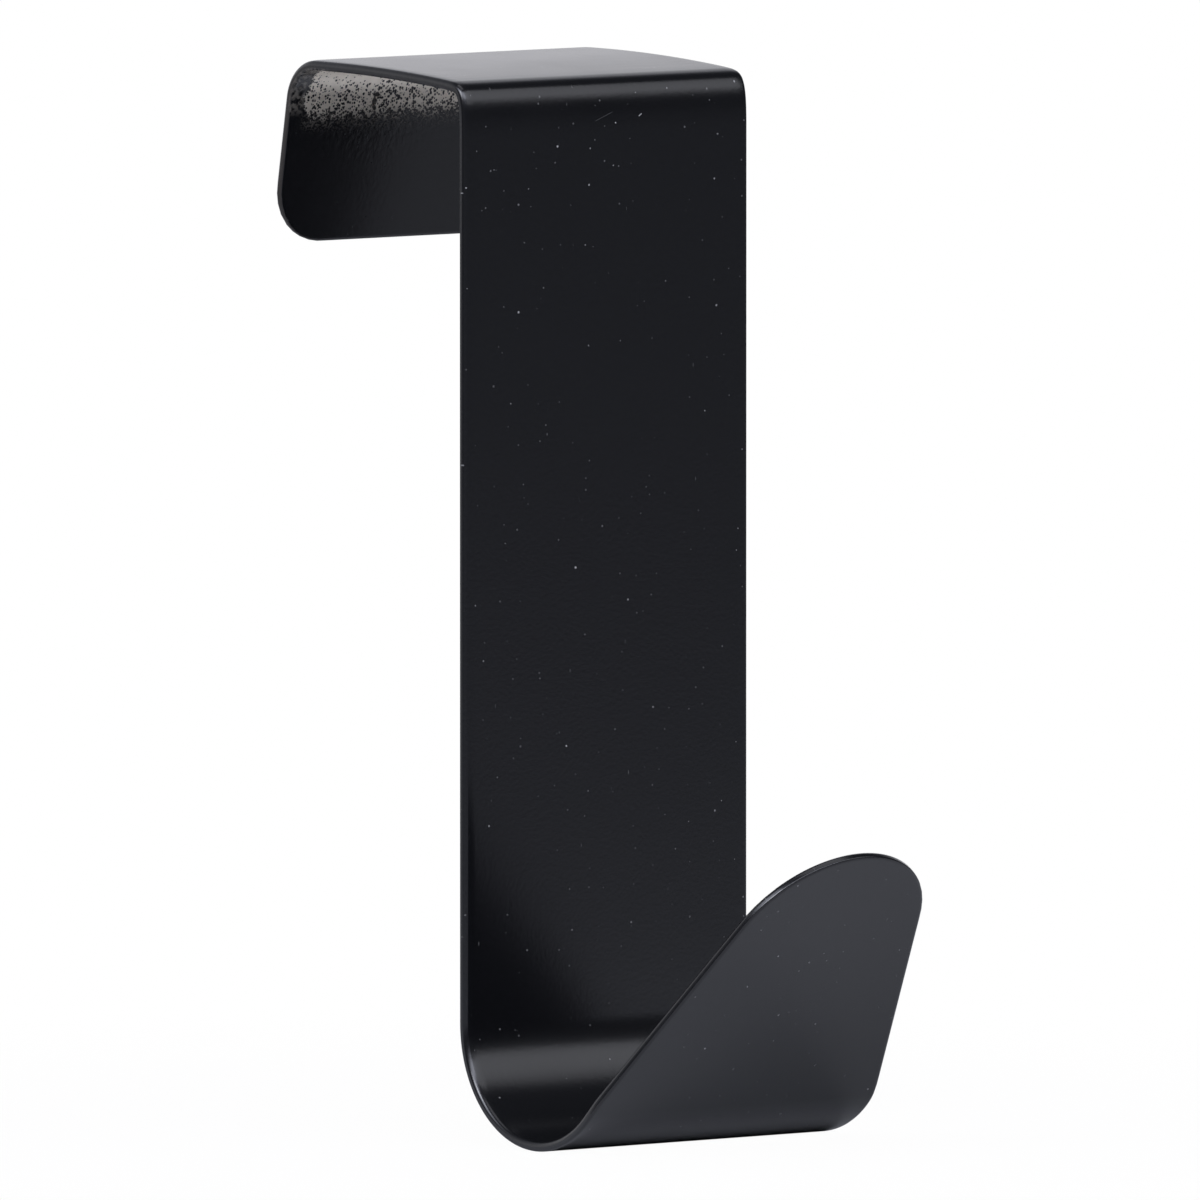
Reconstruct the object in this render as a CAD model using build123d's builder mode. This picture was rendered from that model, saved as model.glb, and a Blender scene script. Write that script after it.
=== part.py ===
"""Over door hook: one strip of sheet steel, folded over the top edge of a door and rolled up into a hook.

Millimetres. X runs across the strip, +Y points to the back of the door, +Z is up.
The origin is in the middle of the web's underside, which lies on the top edge of the door.
"""

import os
from math import cos, radians, sin, tan

from build123d import *

# The strip: steel with its coat, and the soft edge that blanking leaves on the side away from the door
strip_width = 50.0
sheet_thickness = 1.1
edge_round = 0.4

# The web that bridges the door, and the bends at its two ends (inside radii)
door_gap = 37.0
web_rise = 2.3
front_bend_radius = 3.5
back_bend_radius = 5.0

# The short leaf behind the door, measured along its slope from the gap's back corner
back_leaf_length = 24.8
back_leaf_flare = 9.8
back_corner_radius = 8.0

# The hook: its underside below the gap's front corner, its inside radius, and how far it turns up
hook_drop = 145.3
hook_radius = 15.3
hook_sweep = 141.0

# The tongue that the strip ends in, past the hook's bend
tongue_length = 46.2
tongue_tip_radius = 16.15
shoulder_radius = 18.0

# Corners of the side that faces the door, as (y, z)
rise = tan(radians(web_rise))
flare = radians(back_leaf_flare)
back_corner = (door_gap / 2, door_gap / 2 * rise)
front_corner = (-door_gap / 2, -door_gap / 2 * rise)
back_end = (
    back_corner[0] + back_leaf_length * sin(flare),
    back_corner[1] - back_leaf_length * cos(flare),
)
outer_hook_radius = hook_radius + sheet_thickness
leaf_foot = (front_corner[0], front_corner[1] - hook_drop + outer_hook_radius)

# Flat outline of the tongue: full width at the bend, then straight flanks that run into a round tip
with BuildSketch() as tongue:
    Rectangle(strip_width, shoulder_radius, align=(Align.CENTER, Align.MAX))
    with Locations((0, tongue_length - tongue_tip_radius)):
        Circle(tongue_tip_radius)
    make_hull()
    fillet(tongue.vertices().group_by(Axis.Y)[1], radius=shoulder_radius)

# What is cut off beside the tongue
with BuildSketch() as offcuts:
    with Locations((0, -shoulder_radius)):
        Rectangle(
            strip_width + 2 * sheet_thickness,
            shoulder_radius + tongue_length + sheet_thickness,
            align=(Align.CENTER, Align.MIN),
        )
    add(tongue.sketch, mode=Mode.SUBTRACT)

with BuildPart() as over_door_hook:
    # Side view of the folded strip: the line that faces the door, thickened away from it
    with BuildSketch(Plane.YZ):
        with BuildLine():
            FilletPolyline(
                back_end,
                back_corner,
                front_corner,
                leaf_foot,
                radius=[back_bend_radius, front_bend_radius],
            )
            bend = JernArc(leaf_foot, (0, -1), outer_hook_radius, -hook_sweep)
            PolarLine(bend @ 1, tongue_length, direction=bend % 1)
            offset(amount=sheet_thickness, side=Side.RIGHT)
        make_face()
    extrude(amount=strip_width / 2, both=True)

    # The strip's end is trimmed to the tongue, square to its flat
    turn = radians(hook_sweep)
    tongue_root = Plane.YZ.from_local_coords(bend @ 1)
    tongue_plane = Plane(tongue_root, x_dir=(1, 0, 0), z_dir=(0, cos(turn), -sin(turn)))
    with BuildSketch(tongue_plane):
        add(offcuts.sketch)
    extrude(amount=2 * sheet_thickness, both=True, mode=Mode.SUBTRACT)

    # Round the lower corners of the back leaf, then the whole edge of the side away from the door
    leaf_normal = Axis((0, 0, 0), (0, cos(flare), sin(flare)))
    fillet(over_door_hook.edges().filter_by(leaf_normal), radius=back_corner_radius)
    front_edges = over_door_hook.edges().filter_by(Axis.Z).group_by(Axis.Y)[0]
    fillet(front_edges, radius=edge_round)

over_door_hook.part.label = "over_door_hook"
os.makedirs("parts", exist_ok=True)
export_step(over_door_hook.part, "parts/over_door_hook.step")
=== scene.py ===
import bpy
import numpy as np
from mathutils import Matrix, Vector


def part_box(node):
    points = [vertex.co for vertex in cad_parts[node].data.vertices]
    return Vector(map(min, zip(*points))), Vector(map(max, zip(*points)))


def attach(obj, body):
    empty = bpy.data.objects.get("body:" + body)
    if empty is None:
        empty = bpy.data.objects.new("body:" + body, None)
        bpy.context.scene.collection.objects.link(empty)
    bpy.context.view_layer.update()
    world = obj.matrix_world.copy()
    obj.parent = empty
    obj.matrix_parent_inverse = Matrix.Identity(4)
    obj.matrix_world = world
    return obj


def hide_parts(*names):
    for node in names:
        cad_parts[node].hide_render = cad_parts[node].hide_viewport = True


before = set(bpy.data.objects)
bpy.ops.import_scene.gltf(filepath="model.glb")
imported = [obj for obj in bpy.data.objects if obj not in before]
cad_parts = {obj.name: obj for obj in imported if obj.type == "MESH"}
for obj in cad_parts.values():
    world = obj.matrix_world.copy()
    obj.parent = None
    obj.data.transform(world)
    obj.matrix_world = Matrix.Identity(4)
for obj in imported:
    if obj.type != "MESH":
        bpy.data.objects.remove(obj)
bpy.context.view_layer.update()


# The hook is one strip of steel sheet, blanked flat, folded twice to sit on the top edge of a door and
# rolled up into a hook that ends in a round tongue. Blanking leaves a soft rolled edge on the side away
# from the door and a crisp edge on the side that faces it. A black powder coat is baked on last.
cad_low, cad_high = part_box("over_door_hook")
strip_width = cad_high.x - cad_low.x
sheet_thickness = 0.0014
door_gap = 0.037
web_rise = np.radians(2.3)
web_crown = np.radians(5.0)
front_bend_radii = np.array([0.080, 0.0047, 0.0010, 0.0035, 0.0090, 0.020, 0.060])
front_bend_turns = np.radians([2.0, 12.0, 43.0, 14.0, 8.0, 4.0, 2.2])
back_bend_radius = 0.0050
back_leaf_length = 0.0248
back_leaf_flare = np.radians(9.8)
back_corner_radius = 0.008
hook_drop = 0.14510
hook_radius = 0.0152
hook_sweep = np.radians(141.0)
tongue_length = 0.0462
tongue_tip_radius = 0.01615
shoulder_radius = 0.018
roll_width = 0.00060
roll_depth = 0.00060
crisp_width = 0.00045
crisp_depth = 0.00025
edge_fall_width = 0.0019
edge_fall_depth = 0.00016


def bent_line(lengths, turns, first_heading, step):
    """A plane line made of stretches that each turn evenly from their start to their end, from (0, 0) on.

    The heading grows linearly along a stretch by that stretch's turn. From one station to the next the line
    moves along the mean heading by the chord of its arc, which is the arc's length times the sine of half
    the turn over half the turn. Returns the stations, the points at them and the headings.
    """
    breaks = np.concatenate([[0.0], np.cumsum(lengths)])
    headings = first_heading + np.concatenate([[0.0], np.cumsum(turns)])
    stations = np.union1d(np.arange(0.0, breaks[-1], step), breaks)
    heading = np.interp(stations, breaks, headings)
    half_turn = np.diff(heading) / 2
    chord = np.diff(stations) * np.sinc(half_turn / np.pi)
    middle = heading[:-1] + half_turn
    moves = np.stack([chord * np.cos(middle), chord * np.sin(middle)], axis=1)
    points = np.concatenate([[[0.0, 0.0]], np.cumsum(moves, axis=0)])
    return stations, points, heading


# The fold: the line of the door side in the (y, z) plane, from the back leaf's end to the tongue's tip.
# The web springs back into a slight crown. The front bend is tight beside the web and eases into the leaf.
fine_step = 0.00005
front_turn = front_bend_turns.sum()
back_turn = np.pi - back_leaf_flare - web_crown - front_turn
front_bend_lengths = front_bend_radii * front_bend_turns
front_bend_points = bent_line(front_bend_lengths, front_bend_turns, 0.0, fine_step)[1]
front_reach, front_fall = front_bend_points[-1]
back_setback = back_bend_radius * np.tan(back_turn / 2)
web_setback = front_reach - front_fall / np.tan(front_turn)
leaf_setback = front_fall / np.sin(front_turn)
outer_hook_radius = hook_radius + sheet_thickness
fold_lengths = np.concatenate([
    [back_leaf_length - back_setback, back_bend_radius * back_turn],
    [door_gap / np.cos(web_rise) - back_setback - web_setback],
    front_bend_lengths,
    [hook_drop - outer_hook_radius - leaf_setback, outer_hook_radius * hook_sweep, tongue_length],
])
fold_turns = np.concatenate([[0.0, back_turn, web_crown], front_bend_turns, [0.0, -hook_sweep, 0.0]])
first_heading = np.pi / 2 + back_leaf_flare
fold_along, fold_points, fold_heading = bent_line(fold_lengths, fold_turns, first_heading, fine_step)
fold_breaks = np.concatenate([[0.0], np.cumsum(fold_lengths)])
leaf_start = fold_breaks[-4]
tongue_root, strip_length = fold_breaks[-2:]
past_web = fold_along >= leaf_start
front_leaf_y = fold_points[past_web, 0][0]
hook_bottom_z = fold_points[past_web, 1].min()
fold_points += [-door_gap / 2 - front_leaf_y, cad_low.z - hook_bottom_z]

# The blank: half of its outline in the (along, across) plane, from the middle of the back end to the tip
tip_centre = tongue_length - tongue_tip_radius
corner_reach = np.hypot(strip_width / 2, tip_centre)
taper = np.arctan2(strip_width / 2, tip_centre) - np.arcsin(tongue_tip_radius / corner_reach)
shoulder_setback = shoulder_radius * np.tan(taper / 2)
outline_lengths = np.array([
    strip_width / 2 - back_corner_radius,
    back_corner_radius * np.pi / 2,
    tongue_root - back_corner_radius - shoulder_setback,
    shoulder_radius * taper,
    np.sqrt(corner_reach ** 2 - tongue_tip_radius ** 2) - shoulder_setback,
    tongue_tip_radius * (np.pi / 2 - taper),
])
outline_turns = np.array([0.0, -np.pi / 2, 0.0, -taper, 0.0, taper - np.pi / 2])
outline_line = bent_line(outline_lengths, outline_turns, np.pi / 2, fine_step)
outline_station, outline_points, outline_heading = outline_line

# Rows of the mesh lie straight across the strip, close together in the bends. The first one starts part of
# the way round the back corners, and the last one lies short of the tip.
corner_split_angle = np.radians(45)
tip_split_angle = np.radians(50)
corner_split = back_corner_radius * (1 - np.cos(corner_split_angle))
tip_split = strip_length - tongue_tip_radius * (1 - np.cos(tip_split_angle))
rows_per_stretch = [12, 28, 18, 4, 8, 24, 10, 8, 5, 4, 40, 72, 24]
row_along = np.unique(np.concatenate([
    np.linspace(max(low, corner_split), min(high, tip_split), count + 1)
    for low, high, count in zip(fold_breaks[:-1], fold_breaks[1:], rows_per_stretch)
]))
row_count = len(row_along)
column_count = 33
rounding_error = 1e-9
past_end = outline_points[:, 0] > rounding_error
side_station = np.interp(row_along, outline_points[past_end, 0], outline_station[past_end])
half_outline = outline_station[-1]
tip_station = np.linspace(side_station[-1], 2 * half_outline - side_station[-1], column_count)[1:-1]
end_station = np.linspace(-side_station[0], side_station[0], column_count)[1:-1]
ring_station = np.concatenate([
    side_station,
    tip_station,
    2 * half_outline - side_station[::-1],
    2 * half_outline + end_station,
])


def blank_outline(station):
    """Points and outward directions of the closed outline at distances from the middle of the back end.

    The second half is the first one mirrored: a station past the tip has the place of the station as far
    before it, with the sign of its across value turned round.
    """
    round_trip = np.mod(station, 2 * half_outline)
    mirrored = round_trip > half_outline
    near = np.where(mirrored, 2 * half_outline - round_trip, round_trip)
    side = np.where(mirrored, -1.0, 1.0)
    along = np.interp(near, outline_station, outline_points[:, 0])
    across = np.interp(near, outline_station, outline_points[:, 1]) * side
    heading = np.interp(near, outline_station, outline_heading)
    return along, across, -np.sin(heading), np.cos(heading) * side


def edge_section():
    """Insets from the outline and heights above the door side, from the far face round to the door side.

    The far face falls towards the edge along a shallow parabola and then along a quarter of an ellipse, the
    roll. The crisp edge is a quarter of a smaller ellipse, and between the two the cut face is straight.
    """
    fall_steps, roll_steps, cut_steps, crisp_steps = 8, 12, 3, 6
    fall_inset = np.linspace(edge_fall_width, roll_width, fall_steps + 1)[:-1]
    roll_turn = np.linspace(0, np.pi / 2, roll_steps + 1)
    far_inset = np.concatenate([fall_inset, roll_width * (1 - np.sin(roll_turn))])
    roll_drop = np.concatenate([np.zeros_like(fall_inset), roll_depth * (1 - np.cos(roll_turn))])
    fall_drop = edge_fall_depth * (1 - far_inset / edge_fall_width) ** 2
    far_height = sheet_thickness - fall_drop - roll_drop
    cut_height = np.linspace(far_height[-1], crisp_depth, cut_steps + 1)[1:-1]
    crisp_turn = np.linspace(0, np.pi / 2, crisp_steps + 1)
    crisp_inset = crisp_width * (1 - np.cos(crisp_turn))
    crisp_height = crisp_depth * (1 - np.sin(crisp_turn))
    door_side_inset = np.array([1.5 * crisp_width, edge_fall_width])
    inset = np.concatenate([far_inset, np.zeros_like(cut_height), crisp_inset, door_side_inset])
    height = np.concatenate([far_height, cut_height, crisp_height, np.zeros_like(door_side_inset)])
    return inset, height


def folded(along, across, height):
    """Flat places lifted onto the fold: the fold's point there, plus the height along the fold's normal."""
    heading = np.interp(along, fold_along, fold_heading)
    y = np.interp(along, fold_along, fold_points[:, 0]) + height * np.sin(heading)
    z = np.interp(along, fold_along, fold_points[:, 1]) - height * np.cos(heading)
    return np.stack([across, y, z], axis=-1)


# Rings round the edge, then the inner vertices of the two broad faces, whose borders are the end rings
ring_along, ring_across, out_along, out_across = blank_outline(ring_station)
inset, height = edge_section()
rim_along = ring_along - inset[:, None] * out_along
rim_across = ring_across - inset[:, None] * out_across
rim_height = np.repeat(height[:, None], len(ring_station), axis=1)
share = np.linspace(0, 1, column_count)[1:-1]


def face_places(ring):
    """Inner places of a broad face: each row runs straight from the ring's right side to its left side."""
    left_end = row_count + column_count - 2
    right = np.s_[1:row_count - 1]
    left = np.s_[left_end + row_count - 2:left_end:-1]
    along = np.outer(rim_along[ring, right], 1 - share) + np.outer(rim_along[ring, left], share)
    across = np.outer(rim_across[ring, right], 1 - share) + np.outer(rim_across[ring, left], share)
    return along, across


def face_numbers(ring, first):
    """Vertex numbers of a broad face as a grid of rows by columns, its border taken from the ring."""
    inner_rows, inner_columns = row_count - 2, column_count - 2
    left_end = row_count + inner_columns
    left_start = left_end + row_count
    ring_size = len(ring_station)
    border = ring * ring_size + np.arange(ring_size)
    numbers = np.empty((row_count, column_count), int)
    numbers[:, 0] = border[:row_count]
    numbers[-1, 1:-1] = border[row_count:left_end]
    numbers[:, -1] = border[left_end:left_start][::-1]
    numbers[0, 1:-1] = border[left_start:][::-1]
    numbers[1:-1, 1:-1] = first + np.arange(inner_rows * inner_columns).reshape(inner_rows, inner_columns)
    return numbers


def quads(numbers):
    """The four corners of each cell of a grid of vertex numbers."""
    corners = [numbers[:-1, :-1], numbers[1:, :-1], numbers[1:, 1:], numbers[:-1, 1:]]
    return np.stack(corners, axis=-1).reshape(-1, 4)


far_along, far_across = face_places(0)
near_along, near_across = face_places(-1)
along = np.concatenate([rim_along.ravel(), far_along.ravel(), near_along.ravel()])
across = np.concatenate([rim_across.ravel(), far_across.ravel(), near_across.ravel()])
far_lift = np.full(far_along.size, sheet_thickness)
near_lift = np.zeros(near_along.size)
lift = np.concatenate([rim_height.ravel(), far_lift, near_lift])
rim_inset = np.repeat(inset[:, None], len(ring_station), axis=1)
inner_inset = np.full(far_along.size + near_along.size, inset.max())
from_edge = np.concatenate([rim_inset.ravel(), inner_inset])
rim_numbers = np.arange(rim_along.size).reshape(rim_along.shape)
rim_numbers = np.concatenate([rim_numbers, rim_numbers[:, :1]], axis=1)
last_ring = len(inset) - 1
faces = np.concatenate([
    quads(rim_numbers)[:, ::-1],
    quads(face_numbers(0, rim_along.size))[:, ::-1],
    quads(face_numbers(last_ring, rim_along.size + far_along.size)),
])
strip_mesh = bpy.data.meshes.new("hook_strip")
strip_mesh.from_pydata(folded(along, across, lift), [], faces)
strip_mesh.polygons.foreach_set("use_smooth", np.ones(len(faces), bool))
flat_places = np.stack([along, across, lift], axis=1).astype(np.float32)
blank_place = strip_mesh.attributes.new("blank_place", "FLOAT_VECTOR", "POINT")
blank_place.data.foreach_set("vector", flat_places.ravel())
edge_distance = strip_mesh.attributes.new("edge_distance", "FLOAT", "POINT")
edge_distance.data.foreach_set("value", from_edge.astype(np.float32))
strip_mesh.update()
hook_strip = bpy.data.objects.new("hook_strip", strip_mesh)
bpy.context.scene.collection.objects.link(hook_strip)
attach(hook_strip, "root")
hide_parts("over_door_hook")


class Value:
    """A value in a node tree. Arithmetic on it adds Math nodes, and make() adds any other node."""

    def __init__(self, socket):
        self.socket = socket

    @staticmethod
    def make(tree, kind, settings=None, output=0, **inputs):
        """A new node of that kind: its settings first, then values or links by socket identifier.

        Identifiers have underscores for spaces. Gives the output of that name or number, or a list where
        output is a list of them.
        """
        node = tree.nodes.new(kind)
        for name, setting in (settings or {}).items():
            setattr(node, name, setting)
        sockets = {socket.identifier.replace(" ", "_"): socket for socket in node.inputs}
        for name, given in inputs.items():
            if isinstance(given, Value):
                tree.links.new(given.socket, sockets[name])
            else:
                sockets[name].default_value = given
        if isinstance(output, list):
            return [Value(node.outputs[name]) for name in output]
        return Value(node.outputs[output]) if node.outputs else node

    def math(self, operation, *others):
        """That Math operation on this value, and on others where it takes more than one."""
        names = ["Value", "Value_001", "Value_002"]
        inputs = dict(zip(names, [self, *others]))
        return Value.make(self.socket.id_data, "ShaderNodeMath", {"operation": operation}, **inputs)

    def __add__(self, other):
        return self.math("ADD", other)

    __radd__ = __add__

    def __mul__(self, other):
        return self.math("MULTIPLY", other)

    __rmul__ = __mul__

    def __sub__(self, other):
        return self.math("SUBTRACT", other)

    def __rsub__(self, other):
        return self.math("MULTIPLY_ADD", -1.0, other)

    def ramp(self, low, high):
        """0 at low and beyond it, 1 at high and beyond it, smooth between; low may be the larger one."""
        return Value.make(
            self.socket.id_data, "ShaderNodeMapRange", {"interpolation_type": "SMOOTHSTEP"},
            Value=self, From_Min=low, From_Max=high,
        )

    def tint(self, low, high):
        """The colour low where this value is 0 and the colour high where it is 1."""
        return Value.make(
            self.socket.id_data, "ShaderNodeMix", {"data_type": "RGBA"}, 2,
            Factor_Float=self, A_Color=low, B_Color=high,
        )


def noise(tree, place, scale, detail=2.0):
    """Cloudy noise from 0 to 1 about 0.5, in lumps of about one over the scale."""
    return Value.make(tree, "ShaderNodeTexNoise", Vector=place, Scale=scale, Detail=detail)


def specks(tree, place, spacing, share, radius):
    """Round specks, at most one in a cell of a loose flat grid: 0 off them and up to 1 on the bright ones.

    A cell holds a speck if its first random number is below the share. The second sets the speck's size,
    from half the radius to one and a half, and the cube of the third its brightness: few are bright.
    """
    softness = 0.25
    faintest = 0.15
    distance, draws = Value.make(
        tree, "ShaderNodeTexVoronoi", {"voronoi_dimensions": "2D"}, ["Distance", "Color"],
        Vector=place, Scale=1 / spacing,
    )
    chance, size, bright = Value.make(tree, "ShaderNodeSeparateXYZ", None, ["X", "Y", "Z"], Vector=draws)
    reach = (0.5 + size) * (radius / spacing)
    shape = distance.ramp((1 + softness) * reach, (1 - softness) * reach)
    shape = shape * chance.math("LESS_THAN", share)
    return shape * (faintest + (1 - faintest) * bright.math("POWER", 3.0))


def black_coat():
    """Satin black powder coat with its orange peel, dust, and the corner that the powder didn't reach.

    Places are metres on the flat blank: along the strip from the back end, across it from the middle. A
    border is a pair of places, outside and inside, between which a patch comes up.
    """
    material = bpy.data.materials.new("black_coat")
    material.use_nodes = True
    tree = material.node_tree
    tree.nodes.clear()
    place = Value.make(tree, "ShaderNodeTexCoord", output="Object")
    blank = Value.make(tree, "ShaderNodeAttribute", {"attribute_name": "blank_place"}, "Vector")
    from_edge = Value.make(tree, "ShaderNodeAttribute", {"attribute_name": "edge_distance"}, "Fac")
    along, across, lift = Value.make(tree, "ShaderNodeSeparateXYZ", None, ["X", "Y", "Z"], Vector=blank)
    from_middle = across.math("ABSOLUTE")
    door_side_border = (0.3 * sheet_thickness, 0.1 * sheet_thickness)
    door_side = lift.ramp(*door_side_border)

    # The door side takes its flat patterns from further across, so that the two sides differ
    side_shift = 1.0
    flat_place = Value.make(tree, "ShaderNodeCombineXYZ", X=along, Y=across + side_shift * door_side)

    # Bare steel inside the back bend: whole near the bend's middle, broken by grains of coat near the leaf
    bare_lower_border = (0.0148, 0.0200)
    whole_lower_border = (0.0195, 0.0265)
    bare_upper_border = (0.0330, 0.0285)
    bare_margin = 0.0026
    bare_side_blur = 0.0010
    bare_half_width = strip_width / 2 - bare_margin
    bare_side_border = (bare_half_width + bare_side_blur, bare_half_width - bare_side_blur)
    side_waver = 0.004
    full_cover = 1.08
    bared_cover = 0.87
    drifting_cover = 0.16
    grains_per_metre = 2700.0
    grain_size = 1.425
    grain_spread = 0.8075
    grain_softness = 0.08
    first_bare_reach = (0.10, 0.70)
    drift = noise(tree, place, scale=500.0) - 0.5
    wavering = from_middle + side_waver * drift
    reach = 0.6 * along.ramp(*bare_lower_border) + 0.4 * along.ramp(*whole_lower_border)
    reach = reach * along.ramp(*bare_upper_border) * wavering.ramp(*bare_side_border) * door_side
    cover = full_cover - bared_cover * reach + drifting_cover * drift
    grain_distance, grain_draws = Value.make(
        tree, "ShaderNodeTexVoronoi", None, ["Distance", "Color"], Vector=place, Scale=grains_per_metre
    )
    grain_draw = Value.make(tree, "ShaderNodeSeparateXYZ", None, "X", Vector=grain_draws)
    grain_radius = grain_size * cover - grain_spread * grain_draw
    between_grains = (grain_distance - grain_radius).ramp(-grain_softness, grain_softness)
    bare = between_grains * reach.ramp(*first_bare_reach)

    # Lighter flecks below the bare steel, where the coat is thin, and beside it, where they are painted
    # glints of the wrinkles
    margin_lower_border = (0.0175, 0.0200)
    margin_upper_border = (0.0330, 0.0280)
    margin_side_border = (bare_half_width - 0.0002, bare_half_width + 0.0006)
    fringe_lower_border = (0.0150, 0.0174)
    fringe_upper_border = (0.0215, 0.0180)
    margin = along.ramp(*margin_lower_border) * along.ramp(*margin_upper_border)
    margin = margin * from_middle.ramp(*margin_side_border) * door_side
    fringe = along.ramp(*fringe_lower_border) * along.ramp(*fringe_upper_border)
    fringe = fringe * from_middle.ramp(*bare_side_border) * door_side
    margin_glint_flecks = noise(tree, place, scale=1400.0).ramp(0.42, 0.62)
    fringe_flecks = noise(tree, place, scale=3200.0).ramp(0.48, 0.62)
    fringe_coat_and_margin_glints = 0.15 * margin * margin_glint_flecks + 0.09 * fringe * fringe_flecks

    # A rust streak and a rust spot on the bare steel, as places along and across with their radii
    stains = [
        (0.0206, -0.0097, 0.00050),
        (0.0198, -0.0101, 0.00060),
        (0.0190, -0.0102, 0.00050),
        (0.0226, -0.0082, 0.00040),
    ]
    raggedness = 0.0012
    ragged = noise(tree, place, scale=1500.0)
    rust = 0.0
    for stain_along, stain_across, stain_radius in stains:
        away = Value.make(
            tree, "ShaderNodeVectorMath", {"operation": "DISTANCE"}, "Value",
            Vector=flat_place, Vector_001=(stain_along, stain_across + side_shift, 0.0),
        )
        rust = rust + (away + raggedness * (ragged - 0.5)).ramp(stain_radius, 0.4 * stain_radius)
    rust = rust.math("MINIMUM", 1.0) * door_side

    # A fine scratch and a crumb of lint at the top of the leaf: places along and across, turn in degrees,
    # half length, half width and strength
    marks = [
        (leaf_start - 0.0021, -0.0006, 20.0, 0.0018, 0.00005, 0.12),
        (leaf_start - 0.0021, 0.0058, 35.0, 0.00034, 0.00008, 1.00),
    ]
    lint = 0.0
    for mark_along, mark_across, turn, half_length, half_width, strength in marks:
        tilt = np.radians(turn)
        lengthwise = (across - mark_across) * np.cos(tilt) - (along - mark_along) * np.sin(tilt)
        sideways = (across - mark_across) * np.sin(tilt) + (along - mark_along) * np.cos(tilt)
        inside = lengthwise.math("ABSOLUTE").ramp(half_length, 0.7 * half_length)
        lint = lint + strength * inside * sideways.math("ABSOLUTE").ramp(half_width, 0.4 * half_width)
    lint = lint * (1 - door_side)

    # Dust, more of it just below the front bend and little inside the back leaf, and a few short hairs
    dusty_upper_border = (leaf_start - 0.005, leaf_start - 0.003)
    dusty_lower_border = (leaf_start + 0.014, leaf_start + 0.004)
    clean_upper_border = (0.036, 0.030)
    below_bend = along.ramp(*dusty_upper_border) * along.ramp(*dusty_lower_border)
    inside_back_leaf = along.ramp(*clean_upper_border) * door_side
    dust = specks(tree, flat_place, spacing=0.0050, share=0.18, radius=0.00011)
    dust = dust + 0.6 * specks(tree, flat_place, spacing=0.0027, share=0.22, radius=0.00008)
    dust = dust + below_bend * specks(tree, flat_place, spacing=0.0029, share=0.30, radius=0.00010)
    dust = dust * (1 - 0.8 * inside_back_leaf)
    hair_turn = np.radians(32)
    hair_stretch = 7.0
    hair_place = Value.make(
        tree, "ShaderNodeMapping",
        Vector=flat_place, Rotation=(0.0, 0.0, hair_turn), Scale=(1.0, hair_stretch, 1.0),
    )
    hairs = specks(tree, hair_place, spacing=0.0130, share=0.12, radius=0.00020)

    # The coat is thin along the cut edge of the back leaf, and the lighter brownish colour there is partly
    # painted highlight of the crisp edge
    edge_line_inset_border = (0.00022, 0.00005)
    edge_line_lift_border = (0.00080, 0.00050)
    edge_line_upper_border = (0.030, 0.022)
    edge_thin_coat_and_highlight = from_edge.ramp(*edge_line_inset_border) * lift.ramp(*edge_line_lift_border)
    edge_thin_coat_and_highlight = edge_thin_coat_and_highlight * along.ramp(*edge_line_upper_border)

    # Colour and gloss
    coat_colour = (0.0045, 0.0048, 0.0058, 1)
    dull_steel = (0.76, 0.70, 0.60, 1)
    bright_steel = (0.98, 0.91, 0.80, 1)
    dark_rust = (0.016, 0.011, 0.009, 1)
    brown_rust = (0.150, 0.070, 0.028, 1)
    thin_coat_and_highlight_colour = (0.030, 0.024, 0.019, 1)
    dust_colour = (0.60, 0.60, 0.60, 1)
    coat_roughness = 0.19
    steel_colour = noise(tree, place, scale=700.0).tint(dull_steel, bright_steel)
    rust_colour = ragged.ramp(0.45, 0.70).tint(dark_rust, brown_rust)
    # The margin's lighter flecks are painted glints; the fringe's are thin coat
    colour = bare.math("MAXIMUM", fringe_coat_and_margin_glints).tint(coat_colour, steel_colour)
    colour = rust.tint(colour, rust_colour)
    # Painted highlight, partly thin coat: the lighter line along the back leaf's cut edge
    colour = (0.6 * edge_thin_coat_and_highlight).tint(colour, thin_coat_and_highlight_colour)
    colour = (0.85 * dust + 0.35 * hairs + 0.85 * lint).tint(colour, dust_colour)
    cloud = noise(tree, place, scale=60.0, detail=3.0)
    roughness = coat_roughness + 0.06 * cloud + 0.25 * bare + 0.30 * dust + 0.30 * edge_thin_coat_and_highlight
    metal = 0.75 * bare * (1 - rust)

    # Relief: orange peel, streaks across the web from rolling, wrinkles in the back bend, the coat's step
    web_back_border = (0.024, 0.028)
    web_front_border = (0.062, 0.056)
    wrinkled_lower_border = (0.0090, 0.0170)
    wrinkled_upper_border = (0.0360, 0.0300)
    relief_depth = 0.00002
    peel = noise(tree, place, scale=1700.0)
    streak_place = Value.make(tree, "ShaderNodeMapping", Vector=flat_place, Scale=(900.0, 30.0, 1.0))
    streaks = noise(tree, streak_place, scale=1.0)
    streaks = streaks * along.ramp(*web_back_border) * along.ramp(*web_front_border)
    inside_bend = along.ramp(*wrinkled_lower_border) * along.ramp(*wrinkled_upper_border) * door_side
    wrinkles = noise(tree, place, scale=1100.0, detail=3.0) * (margin + 0.8 * inside_bend)
    relief = 0.5 * peel + streaks + 3.0 * wrinkles - 2.0 * bare
    normal = Value.make(tree, "ShaderNodeBump", Height=relief, Distance=relief_depth)
    surface = Value.make(
        tree, "ShaderNodeBsdfPrincipled",
        Base_Color=colour, Roughness=roughness, Metallic=metal, Normal=normal,
    )
    Value.make(tree, "ShaderNodeOutputMaterial", Surface=surface)
    return material


strip_mesh.materials.append(black_coat())


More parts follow.
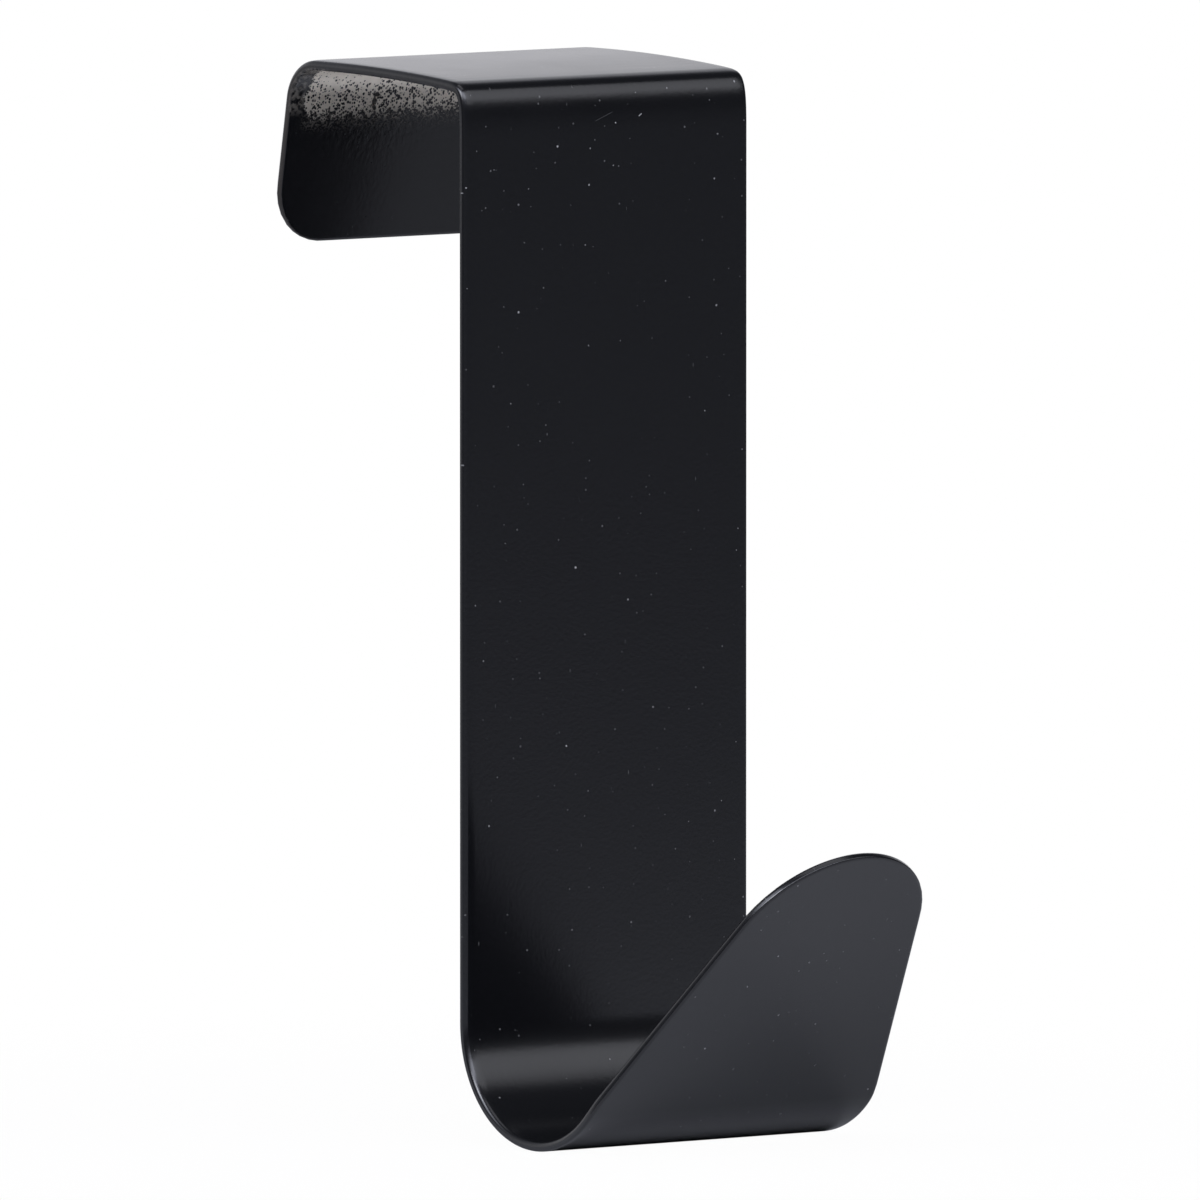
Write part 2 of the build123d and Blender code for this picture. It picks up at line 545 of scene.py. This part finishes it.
# The floor is a round sheet of matt white paper just under the hook. It is lit as the hook is, and towards
# its rim it fades out into the white ground. It has a small hole in its middle, out of the camera's sight.
floor_gap = 0.0001
floor_radius = 1.25
floor_hole_radius = 0.002
floor_rings = 24
floor_sectors = 96
ring_radius = np.linspace(floor_hole_radius, floor_radius, floor_rings + 1)
ring_angle = np.linspace(0, 2 * np.pi, floor_sectors + 1)
floor_x = np.outer(ring_radius, np.cos(ring_angle))
floor_y = np.outer(ring_radius, np.sin(ring_angle))
floor_z = np.full_like(floor_x, cad_low.z - floor_gap)
floor_places = np.stack([floor_x, floor_y, floor_z], axis=-1).reshape(-1, 3)
floor_mesh = bpy.data.meshes.new("floor")
floor_mesh.from_pydata(floor_places, [], quads(np.arange(floor_x.size).reshape(floor_x.shape)))
floor = bpy.data.objects.new("floor", floor_mesh)
bpy.context.scene.collection.objects.link(floor)


def pale_floor():
    """Matt white that fades to clear in two steps towards the rim.

    The camera sees the white ground through it, and a small share of paper near the hook keeps the shadow.
    """
    paper_colour = (0.85, 0.86, 0.88, 1)
    near_fade = (0.10, 0.28)
    far_fade = (0.30, 1.20)
    shadow_share = 0.025
    shadow_fade = (0.06, 0.20)
    material = bpy.data.materials.new("pale_floor")
    material.use_nodes = True
    tree = material.node_tree
    tree.nodes.clear()
    place = Value.make(tree, "ShaderNodeTexCoord", output="Object")
    flat_place = Value.make(
        tree, "ShaderNodeVectorMath", {"operation": "MULTIPLY"}, Vector=place, Vector_001=(1.0, 1.0, 0.0)
    )
    distance = Value.make(tree, "ShaderNodeVectorMath", {"operation": "LENGTH"}, "Value", Vector=flat_place)
    seen = Value.make(tree, "ShaderNodeLightPath", output="Is Camera Ray")
    fade = 0.5 * distance.ramp(*near_fade) + 0.5 * distance.ramp(*far_fade)
    seen_through = seen * (1 - shadow_share + shadow_share * distance.ramp(*shadow_fade))
    paper = Value.make(tree, "ShaderNodeBsdfDiffuse", Color=paper_colour)
    clear = Value.make(tree, "ShaderNodeBsdfTransparent")
    surface = Value.make(
        tree, "ShaderNodeMixShader", Fac=fade.math("MAXIMUM", seen_through), Shader=paper, Shader_001=clear
    )
    Value.make(tree, "ShaderNodeOutputMaterial", Surface=surface)
    return material


floor_mesh.materials.append(pale_floor())


# The light is a plain studio: soft boxes above the hook, at its right front and at its left, in a dim
# room with a high pale wall at the front left and a dim far floor in front. A white backdrop behind the
# hook, fading upwards, downwards and to the left, and the wall's wider glow show to mirror rays alone.
def soft_box(name, azimuth, elevation, distance, width, height, power):
    """An area lamp facing the hook's middle from that direction; azimuth from the front to the right."""
    lamp = bpy.data.lights.new(name, "AREA")
    lamp.shape = "RECTANGLE"
    lamp.size = width
    lamp.size_y = height
    lamp.energy = power
    lamp.color = (0.97, 0.985, 1.06)
    holder = bpy.data.objects.new(name, lamp)
    around, up = np.radians([azimuth, elevation])
    toward = Vector((np.sin(around) * np.cos(up), -np.cos(around) * np.cos(up), np.sin(up)))
    holder.location = Vector((0, 0, cad_low.z / 2)) + toward * distance
    holder.rotation_euler = toward.to_track_quat("Z", "Y").to_euler()
    bpy.context.scene.collection.objects.link(holder)


soft_box("top_box", azimuth=0.0, elevation=88.0, distance=1.2, width=0.9, height=0.9, power=3.0)
soft_box("right_box", azimuth=37.0, elevation=33.0, distance=2.4, width=1.20, height=1.36, power=8.2)
soft_box("left_box", azimuth=-78.0, elevation=31.0, distance=1.2, width=0.4, height=0.4, power=4.0)

room_level = 0.05
far_floor_level = 0.16
wall_level = 3.50
glow_level = 2.50
backdrop_level = 0.90
room_tone = (0.96, 0.99, 1.14, 1)
backdrop_tone = (0.985, 0.985, 1.035, 1)
white = (1, 1, 1, 1)
backdrop_face = (0.15, 0.60)
backdrop_left = (-0.35, 0.10)
backdrop_top = (1.0, 0.15)
backdrop_foot = (-0.16, 0.0)
wall_foot = (0.28, 0.60)
wall_top = (0.85, 0.60)
wall_face = (-0.25, -0.50)
glow_face = (-0.05, -0.40)
far_floor_top = (0.02, -0.06)
far_floor_back = (0.25, -0.15)
world = bpy.data.worlds.new("studio")
world.use_nodes = True
bpy.context.scene.world = world
studio = world.node_tree
studio.nodes.clear()

# What a ray meets by where it heads: aside to the right, depth to the back, rise upwards. The camera's own
# rays meet plain white.
heading = Value.make(studio, "ShaderNodeTexCoord", output="Generated")
aside, depth, rise = Value.make(studio, "ShaderNodeSeparateXYZ", None, ["X", "Y", "Z"], Vector=heading)
backdrop = depth.ramp(*backdrop_face) * (aside + depth).ramp(*backdrop_left)
backdrop = backdrop * rise.ramp(*backdrop_top) * rise.ramp(*backdrop_foot)
back_right = 0.7 * aside + 0.7 * depth
high = rise.ramp(*wall_foot) * rise.ramp(*wall_top)
wall = back_right.ramp(*wall_face) * high
glow = back_right.ramp(*glow_face) * high
far_floor = rise.ramp(*far_floor_top) * depth.ramp(*far_floor_back)
seen, mirrored = Value.make(studio, "ShaderNodeLightPath", None, ["Is Camera Ray", "Is Glossy Ray"])
mirrored_only = mirrored * (backdrop_level * backdrop + glow_level * glow)
level = room_level + far_floor_level * far_floor + wall_level * wall + mirrored_only
tone = seen.tint(backdrop.tint(room_tone, backdrop_tone), white)
ground = Value.make(studio, "ShaderNodeBackground", Color=tone, Strength=level.math("MAXIMUM", seen))
Value.make(studio, "ShaderNodeOutputWorld", Surface=ground)


# The camera stands at the front left, a little above the hook, with a long lens. Its place and lens were
# fitted to the photo's outline together with the strip.
view_azimuth = np.radians(-38.4276)
view_elevation = np.radians(4.386)
view_distance = 4.80816
view_aim = Vector((0.008251, -0.007835, -0.073161))
camera_data = bpy.data.cameras.new("camera")
camera_data.sensor_width = 36.0
camera_data.lens = 1040.66
camera_data.clip_end = 50.0
camera = bpy.data.objects.new("camera", camera_data)
toward_camera = Vector((
    np.sin(view_azimuth) * np.cos(view_elevation),
    -np.cos(view_azimuth) * np.cos(view_elevation),
    np.sin(view_elevation),
))
camera.location = view_aim + toward_camera * view_distance
camera.rotation_euler = toward_camera.to_track_quat("Z", "Y").to_euler()
bpy.context.scene.collection.objects.link(camera)
bpy.context.scene.camera = camera
bpy.context.scene.view_settings.view_transform = "Standard"
